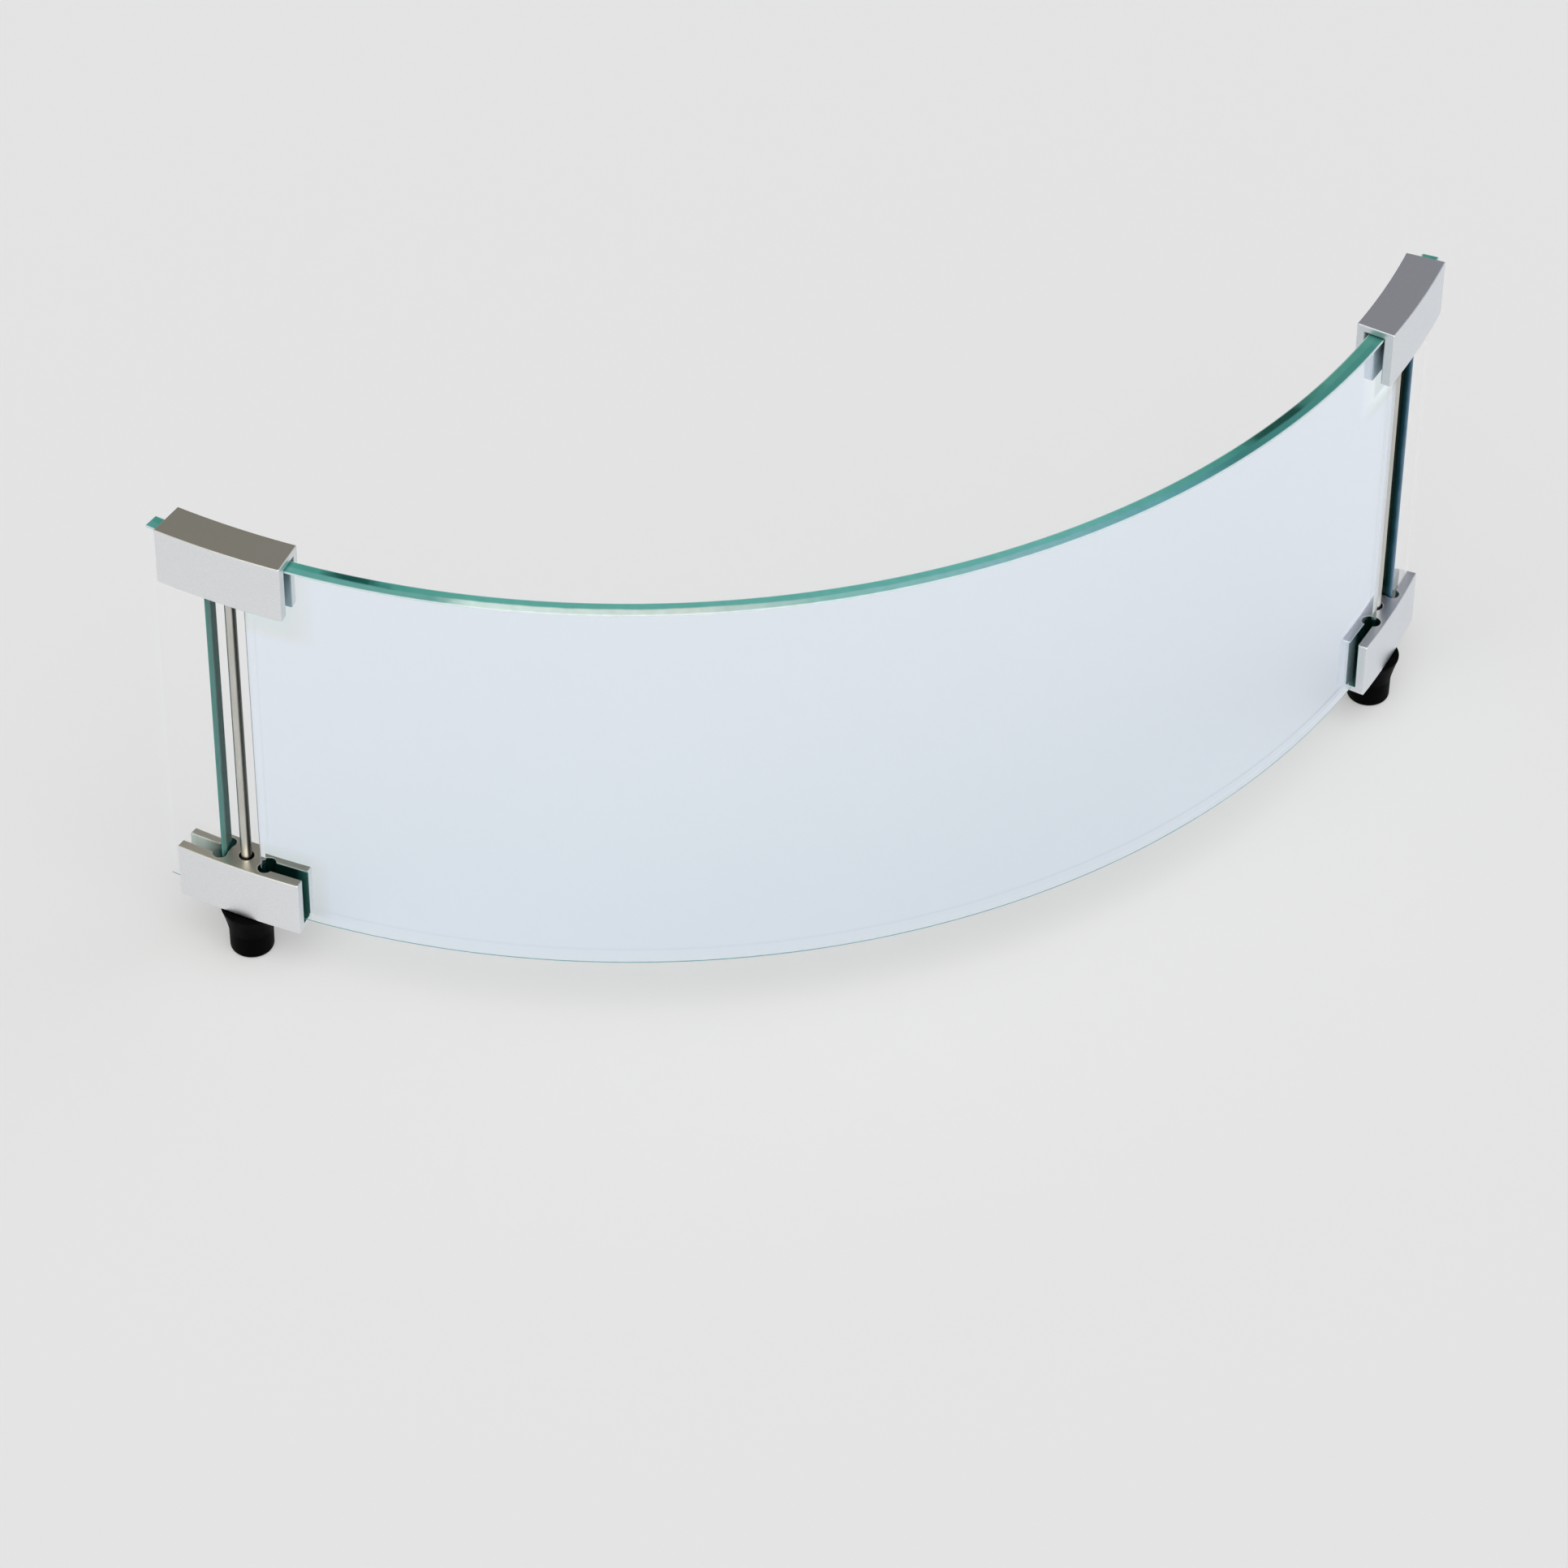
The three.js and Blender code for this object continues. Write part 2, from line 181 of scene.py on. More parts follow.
def lathe(profile, centre, segments=72, wobble=None):
    """A round body about the upright axis through centre. profile is (radius, z) pairs from axis to axis.

    wobble(radius, z, turn) may change the radius, for knurls and threads.
    """
    bm = bmesh.new()
    rings = []
    for radius, z in profile:
        if radius <= 0:
            rings.append([bm.verts.new(centre + Vector((0, 0, z)))])
            continue
        ring = []
        for step in range(segments):
            turn = step / segments
            r = wobble(radius, z, turn) if wobble else radius
            place = Vector((r * math.cos(turn * math.tau), r * math.sin(turn * math.tau), z))
            ring.append(bm.verts.new(centre + place))
        rings.append(ring)
    for lower, upper in zip(rings, rings[1:]):
        for step in range(segments):
            following = (step + 1) % segments
            corners = [lower[step % len(lower)], lower[following % len(lower)]]
            corners += [upper[following % len(upper)], upper[step % len(upper)]]
            corners = list(dict.fromkeys(corners))
            if len(corners) > 2:
                bm.faces.new(corners)
    return bm


def arc(centre, radius, start, end, steps):
    """Points on an arc in a profile, in degrees."""
    points = []
    for step in range(steps + 1):
        angle = math.radians(start + (end - start) * step / steps)
        points.append((centre[0] + radius * math.cos(angle), centre[1] + radius * math.sin(angle)))
    return points


def boolean(piece, tool, operation):
    """Cuts or keeps with a temporary object, which is removed afterwards."""
    modifier = piece.modifiers.new("cut", "BOOLEAN")
    modifier.operation = operation
    modifier.solver = "EXACT"
    modifier.object = tool
    graph = bpy.context.evaluated_depsgraph_get()
    mesh = bpy.data.meshes.new_from_object(piece.evaluated_get(graph))
    piece.modifiers.clear()
    old = piece.data
    piece.data = mesh
    bpy.data.meshes.remove(old)
    bpy.data.objects.remove(tool)


# ---------------------------------------------------------------- a block that follows the ring
CORNER_STEPS = 4
GLASS_STEP = 2.5 * MM  # between two sections of the panel, along the ring
FINE_STEP = 1.5 * MM  # the same in the small pieces
FACE_ZONE, TOP_ZONE, BOTTOM_ZONE, START_ZONE, END_ZONE = range(5)


def rounded_section(half_width, half_height, rounding, inset):
    """The outline of a rounded rectangle, drawn in by inset, as (across, up, zone) points."""
    middle_in = max(rounding, inset)
    radius = max(rounding - inset, 0)
    across, up = half_width - middle_in, half_height - middle_in
    flat_across, flat_up = max(across - SUPPORT, 0), max(up - SUPPORT, 0)
    points = []
    corners = ((1, 1, TOP_ZONE), (-1, 1, TOP_ZONE), (-1, -1, BOTTOM_ZONE), (1, -1, BOTTOM_ZONE))
    for number, (side, level, zone) in enumerate(corners):
        before_side = (side * (across + radius), level * flat_up, zone)
        before_level = (side * flat_across, level * (up + radius), zone)
        bend = arc((side * across, level * up), radius, number * 90, number * 90 + 90, CORNER_STEPS)
        bend = [(x, z, zone) for x, z in bend]
        if number % 2 == 0:
            points += [before_side, *bend, before_level]
            continue
        points += [before_level, *bend, (*before_side[:2], FACE_ZONE)]
    return points


def ring_block(inner, outer, start, end, low, high, rounding, step):
    """Sections and zones of a rounded block between two radii, two angles and two heights."""
    middle, half_width = (inner + outer) / 2, (outer - inner) / 2
    mid_z, half_height = (low + high) / 2, (high - low) / 2
    length = (end - start) * middle
    stations = [(0, rounding + SUPPORT, START_ZONE)]
    for number in range(CORNER_STEPS + 1):
        angle = math.radians(90 * number / CORNER_STEPS)
        stations.append((rounding * (1 - math.cos(angle)), rounding * (1 - math.sin(angle)), START_ZONE))
    stations.append((rounding + SUPPORT, 0, FACE_ZONE))
    far = [(length - place, inset, END_ZONE) for place, inset, _ in reversed(stations)]
    steps = max(2, round((length - 2 * rounding) / step))
    first, last = stations[-1][0], far[0][0]
    middle_stations = [(first + (last - first) * n / steps, 0, FACE_ZONE) for n in range(1, steps)]
    stations += middle_stations + far
    sections = []
    zones = []
    for place, inset, zone in stations:
        outline = rounded_section(half_width, half_height, rounding, inset)
        angle = start + place / middle
        sections.append([ring_point(middle + across, angle, mid_z + up) for across, up, _ in outline])
        zones.append(zone)
    outline_zones = [zone for _, _, zone in outline]

    def zone_of(row, point):
        if point is None:
            return START_ZONE if row == 0 else END_ZONE
        return outline_zones[point] if zones[row] == FACE_ZONE else zones[row]

    return sections, zone_of


def block_piece(name, inner, outer, start, end, low, high, rounding, materials, step=GLASS_STEP):
    """A rounded block that follows the ring. With several materials, they are in the zones' order."""
    sections, zone_of = ring_block(inner, outer, start, end, low, high, rounding, step)
    bm = skin(sections, zone_of if len(materials) > 1 else None)
    return finish_mesh(name, bm, materials)


# ---------------------------------------------------------------- material helpers
class Nodes:
    """A short way to write a node tree: each call adds a node and links its inputs."""

    def __init__(self, tree):
        self.tree = tree
        tree.nodes.clear()

    def add(self, kind, settings=None, **inputs):
        """A new node. An underscore in an input's name stands for a space."""
        node = self.tree.nodes.new(kind)
        for key, value in (settings or {}).items():
            setattr(node, key, value)
        for key, value in inputs.items():
            self.put(node, key.replace("_", " "), value)
        return node

    def put(self, node, key, value):
        """Links an input, or sets it. The key is a name or a number, and a colour comes without alpha."""
        socket = node.inputs[int(key)] if key.isdigit() else node.inputs[key]
        if isinstance(value, bpy.types.NodeSocket):
            self.tree.links.new(value, socket)
        else:
            socket.default_value = (*value, 1) if socket.type == "RGBA" else value

    def math(self, operation, first, second=0.0):
        node = self.add("ShaderNodeMath", {"operation": operation})
        self.put(node, "0", first)
        self.put(node, "1", second)
        return node.outputs[0]

    def place(self):
        """The point in the frame's own axes, in metres."""
        return self.add("ShaderNodeTexCoord").outputs["Object"]

    def noise(self, size, detail=3.0, stretch=(1, 1, 1), roughness=0.5):
        """Noise whose blobs are about size metres across."""
        scale = tuple(1 / (size * s) for s in stretch)
        mapping = self.add("ShaderNodeMapping", Vector=self.place(), Scale=scale)
        node = self.add("ShaderNodeTexNoise", Vector=mapping.outputs[0], Scale=1.0, Detail=detail)
        node.inputs["Roughness"].default_value = roughness
        return node.outputs["Fac"]

    def ramp(self, factor, stops):
        """A colour that changes with factor, through (place, colour) stops."""
        node = self.add("ShaderNodeValToRGB", Fac=factor)
        elements = node.color_ramp.elements
        while len(elements) < len(stops):
            elements.new(0.5)
        for element, (position, colour) in zip(elements, stops):
            element.position = position
            element.color = (*colour, 1)
        return node.outputs["Color"]

    def remap(self, value, low, high, to_low, to_high):
        """Takes low to to_low and high to to_high, and holds still beyond them."""
        node = self.add("ShaderNodeMapRange", Value=value)
        names = ("From Min", "From Max", "To Min", "To Max")
        for name, number in zip(names, (low, high, to_low, to_high)):
            node.inputs[name].default_value = number
        return node.outputs[0]

    def bump(self, height, distance, strength):
        return self.add("ShaderNodeBump", Height=height, Distance=distance, Strength=strength).outputs[0]

    def blend(self, factor, first, second):
        """Mixes two shaders."""
        node = self.add("ShaderNodeMixShader", Fac=factor)
        self.put(node, "1", first.outputs[0])
        self.put(node, "2", second.outputs[0])
        return node

    def mix(self, factor, first, second):
        """Mixes two colours."""
        node = self.add("ShaderNodeMix", {"data_type": "RGBA"})
        self.put(node, "0", factor)
        self.put(node, "6", first)
        self.put(node, "7", second)
        return node.outputs[2]

    def ring_place(self):
        """X and Y from the ring's centre, with Y turned to point at the middle of the panel."""
        parts = self.add("ShaderNodeSeparateXYZ", Vector=self.place())
        return parts.outputs["X"], self.math("SUBTRACT", RING_Y, parts.outputs["Y"])

    def across_glass(self):
        """0 at the glass's inner radius and 1 at its outer one."""
        x, y = self.ring_place()
        squares = self.math("ADD", self.math("MULTIPLY", x, x), self.math("MULTIPLY", y, y))
        return self.remap(self.math("SQRT", squares), GLASS_INNER_RADIUS, GLASS_OUTER_RADIUS, 0.0, 1.0)

    def ring_angle(self):
        """Degrees round the ring from the middle of the panel, growing towards +X."""
        x, y = self.ring_place()
        return self.math("MULTIPLY", self.math("ARCTAN2", x, y), math.degrees(1))

    def height(self):
        return self.add("ShaderNodeSeparateXYZ", Vector=self.place()).outputs["Z"]

    def depth_in_brackets(self):
        """How far a height lies below the lower brackets' rims or above the upper ones' rims.

        It is negative between them.
        """
        low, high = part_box("left_bottom_bracket")[1].z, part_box("left_top_bracket")[0].z
        from_middle = self.math("ABSOLUTE", self.math("SUBTRACT", self.height(), (low + high) / 2))
        return self.math("SUBTRACT", from_middle, (high - low) / 2)


def new_material(name):
    """A material with an empty tree, its nodes and its output."""
    material = bpy.data.materials.new(name)
    material.use_nodes = True
    nodes = Nodes(material.node_tree)
    output = nodes.add("ShaderNodeOutputMaterial")
    return material, nodes, output


# ---------------------------------------------------------------- colours
def grey(value):
    """A neutral colour."""
    return (value, value, value)


def srgb(*levels):
    """A colour given on the 0 to 255 display scale, as linear light."""
    return tuple(((v / 255 + 0.055) / 1.055) ** 2.4 if v > 10 else v / 255 / 12.92 for v in levels)


# Warm on the left, cool on the right and darker on level faces: painted light, not the metal's own colour.
ALUMINIUM_LEFT = (0.875, 0.885, 0.915)
ALUMINIUM_RIGHT = (0.80, 0.835, 0.895)
ALUMINIUM_CLOUD = (0.86, 0.88, 0.885)
ALUMINIUM_GRAIN = (0.50, 0.49, 0.48)
LEVEL_LEFT = (0.70, 0.66, 0.545)  # level faces look darker in the studio's light than in the lamps here
LEVEL_RIGHT = (0.80, 0.81, 0.90)
STEEL_DULL = (0.60, 0.59, 0.54)
STEEL_BRIGHT = (0.68, 0.67, 0.63)
STEEL_LINE = (0.44, 0.43, 0.40)
# A dark reflection painted along one side of each rod.
STEEL_DARK_REFLECTION = (0.03, 0.035, 0.03)
RUBBER_BLACK = (0.0003, 0.0004, 0.0004)
RUBBER_DUST = (0.0012, 0.0013, 0.0015)
PAD_DARK = (0.030, 0.034, 0.033)
PAD_LIGHT = (0.055, 0.060, 0.058)
BRASS_BRIGHT = (0.72, 0.53, 0.24)
BRASS_TARNISH = (0.48, 0.33, 0.15)

GLASS_TINT = (0.935, 0.985, 1.0)
GLASS_GLOW_COLOUR = (0.18, 0.34, 1.0)
GLASS_GLOW = 0.08
GLASS_SHADOW = (0.93, 0.97, 0.98)
FILM_CLEAR = (0.97, 0.99, 0.99)
EDGE_STREAK = (0.02, 0.16, 0.13)
# A pale highlight painted along both arrises of the upper edge.
ARRIS_HIGHLIGHT = srgb(214, 224, 226)
BOTTOM_LINE = srgb(88, 150, 152)
END_LIGHT_TEAL = srgb(82, 136, 130)
END_DARK_TEAL = srgb(18, 62, 58)
END_BLUE = srgb(24, 62, 74)
END_BLACK_GREEN = srgb(2, 24, 20)
END_SKY = srgb(104, 134, 160)
END_BEIGE = srgb(196, 200, 186)
END_GREY = srgb(158, 166, 174)
# Painted shade and light in the slots and holes.
SLOT_DARK = srgb(2, 32, 27)
SLOT_SHADE = srgb(42, 88, 80)
SLOT_LIT = srgb(196, 208, 202)
SLOT_GREY = srgb(176, 190, 196)
HOLE_SHADE = srgb(34, 31, 28)

# Painted shade and light inside the brackets, from the panel's side at 0 past the rod at 0.5 to the strip's
# side at 1.
LOW_SLOT_COLOURS = [
    (0.0, SLOT_SHADE), (0.10, SLOT_DARK), (0.36, SLOT_DARK), (0.46, HOLE_SHADE), (0.54, HOLE_SHADE),
    (0.64, SLOT_DARK), (0.72, SLOT_SHADE), (0.88, SLOT_LIT),
]
HIGH_SLOT_COLOURS = [(0.0, SLOT_GREY), (0.14, SLOT_GREY), (0.28, SLOT_SHADE), (0.5, SLOT_DARK)]

# Colours along the panel's upper edge, by degrees from its middle: green depth, darkest beside the brackets.
INNER_RIM_COLOURS = [
    (-45, (70, 142, 130)), (-38, (70, 142, 130)), (-36.4, (14, 68, 60)), (-34.8, (18, 76, 70)),
    (-33.8, (70, 144, 132)), (-28, (90, 160, 150)), (12, (98, 168, 162)), (25, (66, 136, 126)),
    (28, (24, 72, 62)), (31, (20, 64, 56)), (34, (76, 140, 128)),
]
# What shows through it from outside and above, painted on: glass, then the pale table, then shade.
OUTER_RIM_COLOURS = [
    (-45, (84, 150, 144)), (-31, (102, 158, 152)), (-28, (206, 226, 220)), (-14, (202, 213, 206)),
    (-6, (128, 180, 176)), (8, (128, 172, 180)), (18, (92, 153, 160)), (25, (58, 118, 118)),
    (36, (68, 130, 124)),
]


# ---------------------------------------------------------------- materials
def aluminium_colour(nodes, grain):
    """Fine bead-blasted and anodised, with a soft grain and faint clouds.

    The rest is painted light: warm metal on the left, cool on the right, and darker level faces.
    """
    clouds = nodes.noise(14 * MM, detail=3.0)
    sideways = nodes.remap(nodes.ring_angle(), -50, 50, 0, 1)
    base = nodes.ramp(sideways, [(0.0, ALUMINIUM_LEFT), (1.0, ALUMINIUM_RIGHT)])
    base = nodes.mix(nodes.remap(clouds, 0.3, 0.7, 0, 0.5), base, ALUMINIUM_CLOUD)
    normal = nodes.add("ShaderNodeNewGeometry").outputs["Normal"]
    upwards = nodes.add("ShaderNodeSeparateXYZ", Vector=normal).outputs["Z"]
    level = nodes.remap(nodes.math("ABSOLUTE", upwards), 0.6, 0.95, 0, 1)
    level_colour = nodes.ramp(sideways, [(0.0, LEVEL_LEFT), (1.0, LEVEL_RIGHT)])
    base = nodes.mix(level, base, level_colour)
    return nodes.mix(nodes.remap(grain, 0.3, 0.7, 0, 0.22), base, ALUMINIUM_GRAIN)


def aluminium_material():
    """The brackets' outside."""
    material, nodes, output = new_material("anodised_aluminium")
    grain = nodes.noise(0.5 * MM, detail=3.0)
    shader = nodes.add("ShaderNodeBsdfPrincipled", Metallic=1.0)
    nodes.put(shader, "Base Color", aluminium_colour(nodes, grain))
    nodes.put(shader, "Roughness", nodes.remap(grain, 0.2, 0.8, 0.34, 0.44))
    nodes.put(shader, "Normal", nodes.bump(grain, 0.02 * MM, 0.5))
    nodes.put(output, "Surface", shader.outputs[0])
    return material


def slot_material():
    """The same metal inside slots and holes, painted with the shade and green light that fill them."""
    material, nodes, output = new_material("slot_aluminium")
    grain = nodes.noise(0.5 * MM, detail=3.0)
    from_middle = nodes.math("ABSOLUTE", nodes.ring_angle())
    from_rod = nodes.math("SUBTRACT", from_middle, math.degrees(HALF_SPACING))
    reach = math.degrees(BRACKET_HALF_ANGLE)
    outwards = nodes.remap(from_rod, -reach, reach, 0, 1)
    panel_low, panel_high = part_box("main_glass_panel")
    is_high = nodes.math("GREATER_THAN", nodes.height(), (panel_low.z + panel_high.z) / 2)
    low_shade = nodes.ramp(outwards, LOW_SLOT_COLOURS)
    high_shade = nodes.ramp(outwards, HIGH_SLOT_COLOURS)
    depth = nodes.depth_in_brackets()
    # Painted shade, deepening further into the slots.
    far_down = nodes.remap(depth, 10 * MM, 24 * MM, 0, 0.6)
    shade = nodes.mix(far_down, nodes.mix(is_high, low_shade, high_shade), SLOT_SHADE)
    inside = nodes.remap(depth, 0.0, 0.2 * MM, 0, 1)
    shader = nodes.add("ShaderNodeBsdfPrincipled", Roughness=0.6, Specular_IOR_Level=0.08)
    nodes.put(shader, "Base Color", nodes.mix(inside, aluminium_colour(nodes, grain), shade))
    nodes.put(shader, "Metallic", nodes.math("SUBTRACT", 1.0, inside))
    nodes.put(shader, "Normal", nodes.bump(grain, 0.02 * MM, 0.5))
    nodes.put(output, "Surface", shader.outputs[0])
    return material


def steel_material():
    """Satin stainless, with fine lines along Z and a dark reflection painted along one side of each rod."""
    material, nodes, output = new_material("satin_stainless")
    lines = nodes.noise(0.25 * MM, detail=3.0, stretch=(1, 1, 60))
    stains = nodes.noise(6 * MM, detail=3.0, stretch=(1, 1, 3))
    base = nodes.mix(nodes.remap(stains, 0.3, 0.7, 0, 1), STEEL_DULL, STEEL_BRIGHT)
    base = nodes.mix(nodes.remap(lines, 0.35, 0.65, 0, 0.35), base, STEEL_LINE)
    # Next, a dark reflection painted along one side of each rod.
    degrees = nodes.ring_angle()
    rod_degrees = math.degrees(HALF_SPACING)
    on_right = nodes.math("GREATER_THAN", degrees, 0.0)
    from_left_rod = nodes.math("ADD", degrees, rod_degrees)
    from_axis = nodes.math("ADD", from_left_rod, nodes.math("MULTIPLY", on_right, -2 * rod_degrees))
    sideways = nodes.math("MULTIPLY", from_axis, math.radians(1) * GLASS_MIDDLE_RADIUS)
    base = nodes.mix(nodes.remap(sideways, 1.5 * MM, 2.05 * MM, 0, 0.88), base, STEEL_DARK_REFLECTION)
    shader = nodes.add("ShaderNodeBsdfPrincipled", Metallic=1.0)
    nodes.put(shader, "Base Color", base)
    nodes.put(shader, "Roughness", nodes.remap(lines, 0.3, 0.7, 0.24, 0.36))
    nodes.put(shader, "Normal", nodes.bump(lines, 0.02 * MM, 0.6))
    nodes.put(output, "Surface", shader.outputs[0])
    return material


def rubber_material():
    """Black moulded rubber with a fine matt grain and a little dust."""
    material, nodes, output = new_material("black_rubber")
    grain = nodes.noise(0.3 * MM, detail=2.0)
    dust = nodes.noise(4 * MM, detail=5.0, roughness=0.65)
    shader = nodes.add("ShaderNodeBsdfPrincipled", Specular_IOR_Level=0.025)
    dusty = nodes.remap(dust, 0.45, 0.75, 0, 1)
    nodes.put(shader, "Base Color", nodes.mix(dusty, RUBBER_BLACK, RUBBER_DUST))
    nodes.put(shader, "Roughness", nodes.remap(dust, 0.3, 0.7, 0.42, 0.60))
    nodes.put(shader, "Normal", nodes.bump(grain, 0.04 * MM, 0.5))
    nodes.put(output, "Surface", shader.outputs[0])
    return material


def pad_material():
    """Grey rubber sheet for the setting pads."""
    material, nodes, output = new_material("pad_rubber")
    grain = nodes.noise(0.5 * MM, detail=3.0)
    shader = nodes.add("ShaderNodeBsdfPrincipled", Roughness=0.75)
    nodes.put(shader, "Base Color", nodes.mix(grain, PAD_DARK, PAD_LIGHT))
    nodes.put(shader, "Normal", nodes.bump(grain, 0.05 * MM, 0.5))
    nodes.put(output, "Surface", shader.outputs[0])
    return material


def brass_material():
    """Turned brass, with fine rings and a little tarnish."""
    material, nodes, output = new_material("turned_brass")
    rings = nodes.noise(0.2 * MM, detail=2.0, stretch=(40, 40, 1))
    tarnish = nodes.noise(2.5 * MM, detail=4.0)
    shader = nodes.add("ShaderNodeBsdfPrincipled", Metallic=1.0)
    tarnished = nodes.remap(tarnish, 0.4, 0.7, 0, 1)
    nodes.put(shader, "Base Color", nodes.mix(tarnished, BRASS_BRIGHT, BRASS_TARNISH))
    nodes.put(shader, "Roughness", nodes.remap(tarnish, 0.3, 0.7, 0.28, 0.45))
    nodes.put(shader, "Normal", nodes.bump(rings, 0.02 * MM, 0.5))
    nodes.put(output, "Surface", shader.outputs[0])
    return material


def clear_glass_shader(nodes, tint):
    """Refracting glass with a trace of film on it."""
    shader = nodes.add("ShaderNodeBsdfPrincipled", IOR=GLASS_IOR, Transmission_Weight=1.0, Base_Color=tint)
    film = nodes.noise(120 * MM, detail=2.0)
    nodes.put(shader, "Roughness", nodes.remap(film, 0.3, 0.7, 0.0, 0.02))
    return shader


def let_lamps_through(nodes, output, shader):
    """Makes the shadows of a glass shader light."""
    clear = nodes.add("ShaderNodeBsdfTransparent", Color=GLASS_SHADOW)
    lamps = nodes.add("ShaderNodeLightPath").outputs["Is Shadow Ray"]
    nodes.put(output, "Surface", nodes.blend(lamps, shader, clear).outputs[0])


def glass_face_material():
    """Clear glass that lets lamps through, with a faint cool glow where it is seen directly.

    In front of a bracket it neither glows nor mirrors, so that the slots behind it stay dark.
    """
    material, nodes, output = new_material("clear_glass")
    shader = clear_glass_shader(nodes, GLASS_TINT)
    bracket_start = math.degrees(HALF_SPACING - BRACKET_HALF_ANGLE)
    from_middle = nodes.math("ABSOLUTE", nodes.ring_angle())
    near_brackets = nodes.remap(from_middle, bracket_start - 2, bracket_start, 0, 1)
    in_height = nodes.remap(nodes.depth_in_brackets(), -17 * MM, -9 * MM, 0, 1)
    covered = nodes.math("MULTIPLY", near_brackets, in_height)
    seen_directly = nodes.add("ShaderNodeLightPath").outputs["Is Camera Ray"]
    glow = nodes.math("MULTIPLY", seen_directly, nodes.remap(covered, 0, 1, GLASS_GLOW, 0))
    nodes.put(shader, "Emission Color", GLASS_GLOW_COLOUR)
    nodes.put(shader, "Emission Strength", glow)
    bare = nodes.add("ShaderNodeBsdfRefraction", Color=GLASS_TINT, Roughness=0.0, IOR=GLASS_IOR)
    let_lamps_through(nodes, output, nodes.blend(covered, shader, bare))
    return material


def strip_face_material():
    """The same glass without tint or glow, so that a strip's faces are hardly seen."""
    material, nodes, output = new_material("strip_glass")
    let_lamps_through(nodes, output, clear_glass_shader(nodes, grey(1.0)))
    return material


def edge_shader(nodes, colour, streak=0.12):
    """A polished edge with faint dark streaks and a hardly uneven surface."""
    streaks = nodes.noise(5 * MM, detail=4.0)
    fine = nodes.noise(0.8 * MM, detail=2.0)
    shader = nodes.add("ShaderNodeBsdfPrincipled", Roughness=0.18, IOR=GLASS_IOR, Specular_IOR_Level=0.2)
    streaked = nodes.mix(nodes.remap(streaks, 0.35, 0.7, 0, streak), colour, EDGE_STREAK)
    nodes.put(shader, "Base Color", streaked)
    nodes.put(shader, "Normal", nodes.bump(fine, 0.01 * MM, 0.3))
    return shader


def rim_material(name, stops, streak=0.12):
    """A polished glass edge: green depth and what shows through, painted across its thickness, inner side
    first.
    """
    material, nodes, output = new_material(name)
    waver = nodes.noise(14 * MM, detail=3.0)
    across = nodes.math("ADD", nodes.across_glass(), nodes.remap(waver, 0.3, 0.7, -0.03, 0.03))
    nodes.put(output, "Surface", edge_shader(nodes, nodes.ramp(across, stops), streak).outputs[0])
    return material


def top_rim_material():
    """The upper edge: green depth in its inner half, and what shows through it painted in its outer half."""
    material, nodes, output = new_material("upper_rim")
    waver = nodes.noise(18 * MM, detail=3.0)
    degrees = nodes.math("ADD", nodes.ring_angle(), nodes.remap(waver, 0.3, 0.7, -0.9, 0.9))
    along = nodes.remap(degrees, -45, 45, 0, 1)
    inner, outer = (
        nodes.ramp(along, [((angle + 45) / 90, srgb(*colour)) for angle, colour in colours])
        for colours in (INNER_RIM_COLOURS, OUTER_RIM_COLOURS)
    )
    across = nodes.across_glass()
    soft = nodes.math("ADD", across, nodes.remap(waver, 0.3, 0.7, -0.04, 0.04))
    colour = nodes.mix(nodes.remap(soft, 0.46, 0.58, 0, 1), inner, outer)
    # A pale highlight painted along both arrises.
    off_middle = nodes.math("ABSOLUTE", nodes.math("SUBTRACT", across, 0.5))
    colour = nodes.mix(nodes.remap(off_middle, 0.40, 0.47, 0, 0.75), colour, ARRIS_HIGHLIGHT)
    nodes.put(output, "Surface", edge_shader(nodes, colour).outputs[0])
    return material


def see_through_material():
    """The outer end of a strip, left unseen because the neighbouring panel would go on from there."""
    material, nodes, output = new_material("see_through_edge")
    film = nodes.noise(10 * MM, detail=2.0)
    tint = nodes.mix(film, grey(1.0), (0.99, 0.998, 1.0))
    clear = nodes.add("ShaderNodeBsdfTransparent", Color=tint)
    nodes.put(output, "Surface", clear.outputs[0])
    return material


def clear_rim_material(name, colour, opacity_stops, dark_in_brackets=True):
    """A clear edge with a coloured film, whose opacity varies across its thickness, inner side first.

    Where a bracket holds the edge, it can be painted as dark as the painted shade of the slot around it.
    """
    material, nodes, output = new_material(name)
    waver = nodes.noise(20 * MM, detail=2.0)
    across = nodes.math("ADD", nodes.across_glass(), nodes.remap(waver, 0.3, 0.7, -0.015, 0.015))
    opacity = nodes.ramp(across, [(place, grey(value)) for place, value in opacity_stops])
    if dark_in_brackets:
        # Painted shade where a bracket holds the edge.
        held = nodes.remap(nodes.depth_in_brackets(), 0, 0.5 * MM, 0, 1)
        colour = nodes.mix(held, colour, SLOT_DARK)
        opacity = nodes.math("MAXIMUM", opacity, held)
    clear = nodes.add("ShaderNodeBsdfTransparent", Color=FILM_CLEAR)
    film = edge_shader(nodes, colour, streak=0.04)
    nodes.put(output, "Surface", nodes.blend(opacity, clear, film).outputs[0])
    return material


